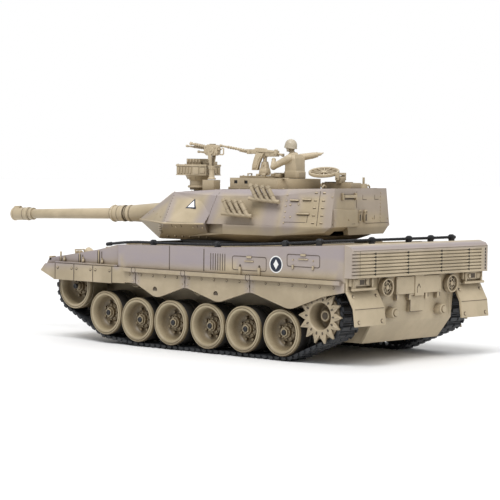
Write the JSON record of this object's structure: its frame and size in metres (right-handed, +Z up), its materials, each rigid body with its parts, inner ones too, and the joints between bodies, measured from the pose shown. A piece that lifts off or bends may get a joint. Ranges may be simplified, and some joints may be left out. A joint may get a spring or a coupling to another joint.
{
  "type": "remote control tank",
  "caption": "Toy battle tank with turning turret, elevating gun, coupled road wheels inside rubber tracks, roof guns, crew figure and side skirts.",
  "frame": {"origin": "centre of the bounding box on the ground plane, under the tracks", "axes": "+X forward along the hull, +Y to the vehicle's left, +Z up; the turret is stored turned 8 degrees to the left"},
  "size_m": [0.4618, 0.185, 0.1803],
  "materials": {
    "tan_plastic": "satin, airbrushed",
    "wheel_plastic": "satin",
    "track_rubber": "satin",
    "tyre_rubber": "matt",
    "black_plastic": "satin",
    "cable_rubber": "satin",
    "battery_wrap": "shrink film",
    "gearbox_plastic": "satin",
    "circuit_green": "lacquered",
    "gear_plastic": "satin",
    "screw_steel": "zinc plated"
  },
  "bodies": {
    "hull": {"hull_upper": "tan_plastic", "hull_lower": "tan_plastic", "rear_grille": "tan_plastic", "rear_fittings": "tan_plastic", "battery_pack": "battery_wrap", "battery_cover": "tan_plastic", "drive_units": "gearbox_plastic", "circuit_board": "circuit_green", "case_screws": "screw_steel", "tow_cable": "cable_rubber", "cable_clamps": "black_plastic", "skirt_left": "tan_plastic", "skirt_right": "tan_plastic", "track_left": "track_rubber", "track_right": "track_rubber"},
    "turret": {"turret_shell": "tan_plastic", "turret_base": "tan_plastic", "smoke_launchers": "tan_plastic", "cupola": "tan_plastic", "crew_figure": "tan_plastic"},
    "gun": {"mantlet": "tan_plastic", "barrel": "tan_plastic"},
    "sight": {"sight_head": "tan_plastic"},
    "pintle_mg": {"pintle_gun": "tan_plastic"},
    "cupola_mg": {"cupola_gun": "tan_plastic"},
    "hatch": {"hatch_cover": "tan_plastic"},
    "switch": {"power_switch": "black_plastic"},
    "pinion": {"turret_pinion": "gear_plastic"},
    "sprocket_left": {"sprocket_left": "wheel_plastic"},
    "idler_left": {"idler_wheel_left": "wheel_plastic"},
    "wheel_1_left": {"road_wheel_1_left": "wheel_plastic", "tyre_1_left": "tyre_rubber"},
    "wheel_2_left": {"road_wheel_2_left": "wheel_plastic", "tyre_2_left": "tyre_rubber"},
    "wheel_3_left": {"road_wheel_3_left": "wheel_plastic", "tyre_3_left": "tyre_rubber"},
    "wheel_4_left": {"road_wheel_4_left": "wheel_plastic", "tyre_4_left": "tyre_rubber"},
    "wheel_5_left": {"road_wheel_5_left": "wheel_plastic", "tyre_5_left": "tyre_rubber"},
    "wheel_6_left": {"road_wheel_6_left": "wheel_plastic", "tyre_6_left": "tyre_rubber"},
    "roller_1_left": {"return_roller_1_left": "wheel_plastic"},
    "roller_2_left": {"return_roller_2_left": "wheel_plastic"},
    "sprocket_right": {"sprocket_right": "wheel_plastic"},
    "idler_right": {"idler_wheel_right": "wheel_plastic"},
    "wheel_1_right": {"road_wheel_1_right": "wheel_plastic", "tyre_1_right": "tyre_rubber"},
    "wheel_2_right": {"road_wheel_2_right": "wheel_plastic", "tyre_2_right": "tyre_rubber"},
    "wheel_3_right": {"road_wheel_3_right": "wheel_plastic", "tyre_3_right": "tyre_rubber"},
    "wheel_4_right": {"road_wheel_4_right": "wheel_plastic", "tyre_4_right": "tyre_rubber"},
    "wheel_5_right": {"road_wheel_5_right": "wheel_plastic", "tyre_5_right": "tyre_rubber"},
    "wheel_6_right": {"road_wheel_6_right": "wheel_plastic", "tyre_6_right": "tyre_rubber"},
    "roller_1_right": {"return_roller_1_right": "wheel_plastic"},
    "roller_2_right": {"return_roller_2_right": "wheel_plastic"}
  },
  "joints": [
    {"name": "turret_yaw", "type": "hinge", "parent": "hull", "child": "turret", "pos_m": [-0.02766, 0, 0.088], "axis": [0, 0, 1], "range_deg": [-168, 152]},
    {"name": "gun_elevation", "type": "hinge", "parent": "turret", "child": "gun", "pos_m": [0.04364, 0.01002, 0.1134], "axis": [0.1392, -0.9903, 0], "range_deg": [-2, 13]},
    {"name": "sight_turn", "type": "hinge", "parent": "turret", "child": "sight", "pos_m": [0.01436, 0.00995, 0.14], "axis": [0, 0, 1], "continuous": true},
    {"name": "pintle_mg_turn", "type": "hinge", "parent": "turret", "child": "pintle_mg", "pos_m": [-0.01072, 0.01955, 0.15], "axis": [0, 0, 1], "range_deg": [-40, 80]},
    {"name": "cupola_mg_turn", "type": "hinge", "parent": "turret", "child": "cupola_mg", "pos_m": [-0.05002, -0.00617, 0.15], "axis": [0, 0, 1], "range_deg": [-12, 12]},
    {"name": "hatch_tilt", "type": "hinge", "parent": "turret", "child": "hatch", "pos_m": [-0.13014, -0.01238, 0.147], "axis": [0.1392, -0.9903, 0], "range_deg": [0, 60]},
    {"name": "power_switch_slide", "type": "slide", "parent": "hull", "child": "switch", "axis": [1, 0, 0], "range_m": [0, 0.004]},
    {"name": "turret_drive", "type": "hinge", "parent": "hull", "child": "pinion", "pos_m": [-0.08166, 0, 0.08], "axis": [0, 0, 1], "range_deg": [-760, 840]},
    {"name": "drive_left", "type": "hinge", "parent": "hull", "child": "sprocket_left", "pos_m": [-0.19136, 0.073, 0.0389], "axis": [0, 1, 0], "continuous": true},
    {"name": "idler_spin_left", "type": "hinge", "parent": "hull", "child": "idler_left", "pos_m": [0.09414, 0.073, 0.048], "axis": [0, 1, 0], "continuous": true},
    {"name": "wheel_spin_1_left", "type": "hinge", "parent": "hull", "child": "wheel_1_left", "pos_m": [0.05184, 0.073, 0.027], "axis": [0, 1, 0], "continuous": true},
    {"name": "wheel_spin_2_left", "type": "hinge", "parent": "hull", "child": "wheel_2_left", "pos_m": [0.01284, 0.073, 0.0232], "axis": [0, 1, 0], "continuous": true},
    {"name": "wheel_spin_3_left", "type": "hinge", "parent": "hull", "child": "wheel_3_left", "pos_m": [-0.02696, 0.073, 0.0232], "axis": [0, 1, 0], "continuous": true},
    {"name": "wheel_spin_4_left", "type": "hinge", "parent": "hull", "child": "wheel_4_left", "pos_m": [-0.06956, 0.073, 0.0232], "axis": [0, 1, 0], "continuous": true},
    {"name": "wheel_spin_5_left", "type": "hinge", "parent": "hull", "child": "wheel_5_left", "pos_m": [-0.10946, 0.073, 0.0232], "axis": [0, 1, 0], "continuous": true},
    {"name": "wheel_spin_6_left", "type": "hinge", "parent": "hull", "child": "wheel_6_left", "pos_m": [-0.15126, 0.073, 0.0232], "axis": [0, 1, 0], "continuous": true},
    {"name": "roller_spin_1_left", "type": "hinge", "parent": "hull", "child": "roller_1_left", "pos_m": [0.02434, 0.073, 0.05751], "axis": [0, 1, 0], "continuous": true},
    {"name": "roller_spin_2_left", "type": "hinge", "parent": "hull", "child": "roller_2_left", "pos_m": [-0.05066, 0.073, 0.05462], "axis": [0, 1, 0], "continuous": true},
    {"name": "drive_right", "type": "hinge", "parent": "hull", "child": "sprocket_right", "pos_m": [-0.19136, -0.073, 0.0389], "axis": [0, 1, 0], "continuous": true},
    {"name": "idler_spin_right", "type": "hinge", "parent": "hull", "child": "idler_right", "pos_m": [0.09414, -0.073, 0.048], "axis": [0, 1, 0], "continuous": true},
    {"name": "wheel_spin_1_right", "type": "hinge", "parent": "hull", "child": "wheel_1_right", "pos_m": [0.05184, -0.073, 0.027], "axis": [0, 1, 0], "continuous": true},
    {"name": "wheel_spin_2_right", "type": "hinge", "parent": "hull", "child": "wheel_2_right", "pos_m": [0.01284, -0.073, 0.0232], "axis": [0, 1, 0], "continuous": true},
    {"name": "wheel_spin_3_right", "type": "hinge", "parent": "hull", "child": "wheel_3_right", "pos_m": [-0.02696, -0.073, 0.0232], "axis": [0, 1, 0], "continuous": true},
    {"name": "wheel_spin_4_right", "type": "hinge", "parent": "hull", "child": "wheel_4_right", "pos_m": [-0.06956, -0.073, 0.0232], "axis": [0, 1, 0], "continuous": true},
    {"name": "wheel_spin_5_right", "type": "hinge", "parent": "hull", "child": "wheel_5_right", "pos_m": [-0.10946, -0.073, 0.0232], "axis": [0, 1, 0], "continuous": true},
    {"name": "wheel_spin_6_right", "type": "hinge", "parent": "hull", "child": "wheel_6_right", "pos_m": [-0.15126, -0.073, 0.0232], "axis": [0, 1, 0], "continuous": true},
    {"name": "roller_spin_1_right", "type": "hinge", "parent": "hull", "child": "roller_1_right", "pos_m": [0.02434, -0.073, 0.05751], "axis": [0, 1, 0], "continuous": true},
    {"name": "roller_spin_2_right", "type": "hinge", "parent": "hull", "child": "roller_2_right", "pos_m": [-0.05066, -0.073, 0.05462], "axis": [0, 1, 0], "continuous": true}
  ],
  "couplings": [
    {"joint": "turret_drive", "follows": "turret_yaw", "ratio": -5},
    {"joint": "idler_spin_left", "follows": "drive_left", "ratio": 0.90594},
    {"joint": "wheel_spin_1_left", "follows": "drive_left", "ratio": 0.93846},
    {"joint": "wheel_spin_2_left", "follows": "drive_left", "ratio": 0.93846},
    {"joint": "wheel_spin_3_left", "follows": "drive_left", "ratio": 0.93846},
    {"joint": "wheel_spin_4_left", "follows": "drive_left", "ratio": 0.93846},
    {"joint": "wheel_spin_5_left", "follows": "drive_left", "ratio": 0.93846},
    {"joint": "wheel_spin_6_left", "follows": "drive_left", "ratio": 0.93846},
    {"joint": "roller_spin_1_left", "follows": "drive_left", "ratio": 2.3766},
    {"joint": "roller_spin_2_left", "follows": "drive_left", "ratio": 2.3766},
    {"joint": "idler_spin_right", "follows": "drive_right", "ratio": 0.90594},
    {"joint": "wheel_spin_1_right", "follows": "drive_right", "ratio": 0.93846},
    {"joint": "wheel_spin_2_right", "follows": "drive_right", "ratio": 0.93846},
    {"joint": "wheel_spin_3_right", "follows": "drive_right", "ratio": 0.93846},
    {"joint": "wheel_spin_4_right", "follows": "drive_right", "ratio": 0.93846},
    {"joint": "wheel_spin_5_right", "follows": "drive_right", "ratio": 0.93846},
    {"joint": "wheel_spin_6_right", "follows": "drive_right", "ratio": 0.93846},
    {"joint": "roller_spin_1_right", "follows": "drive_right", "ratio": 2.3766},
    {"joint": "roller_spin_2_right", "follows": "drive_right", "ratio": 2.3766}
  ]
}
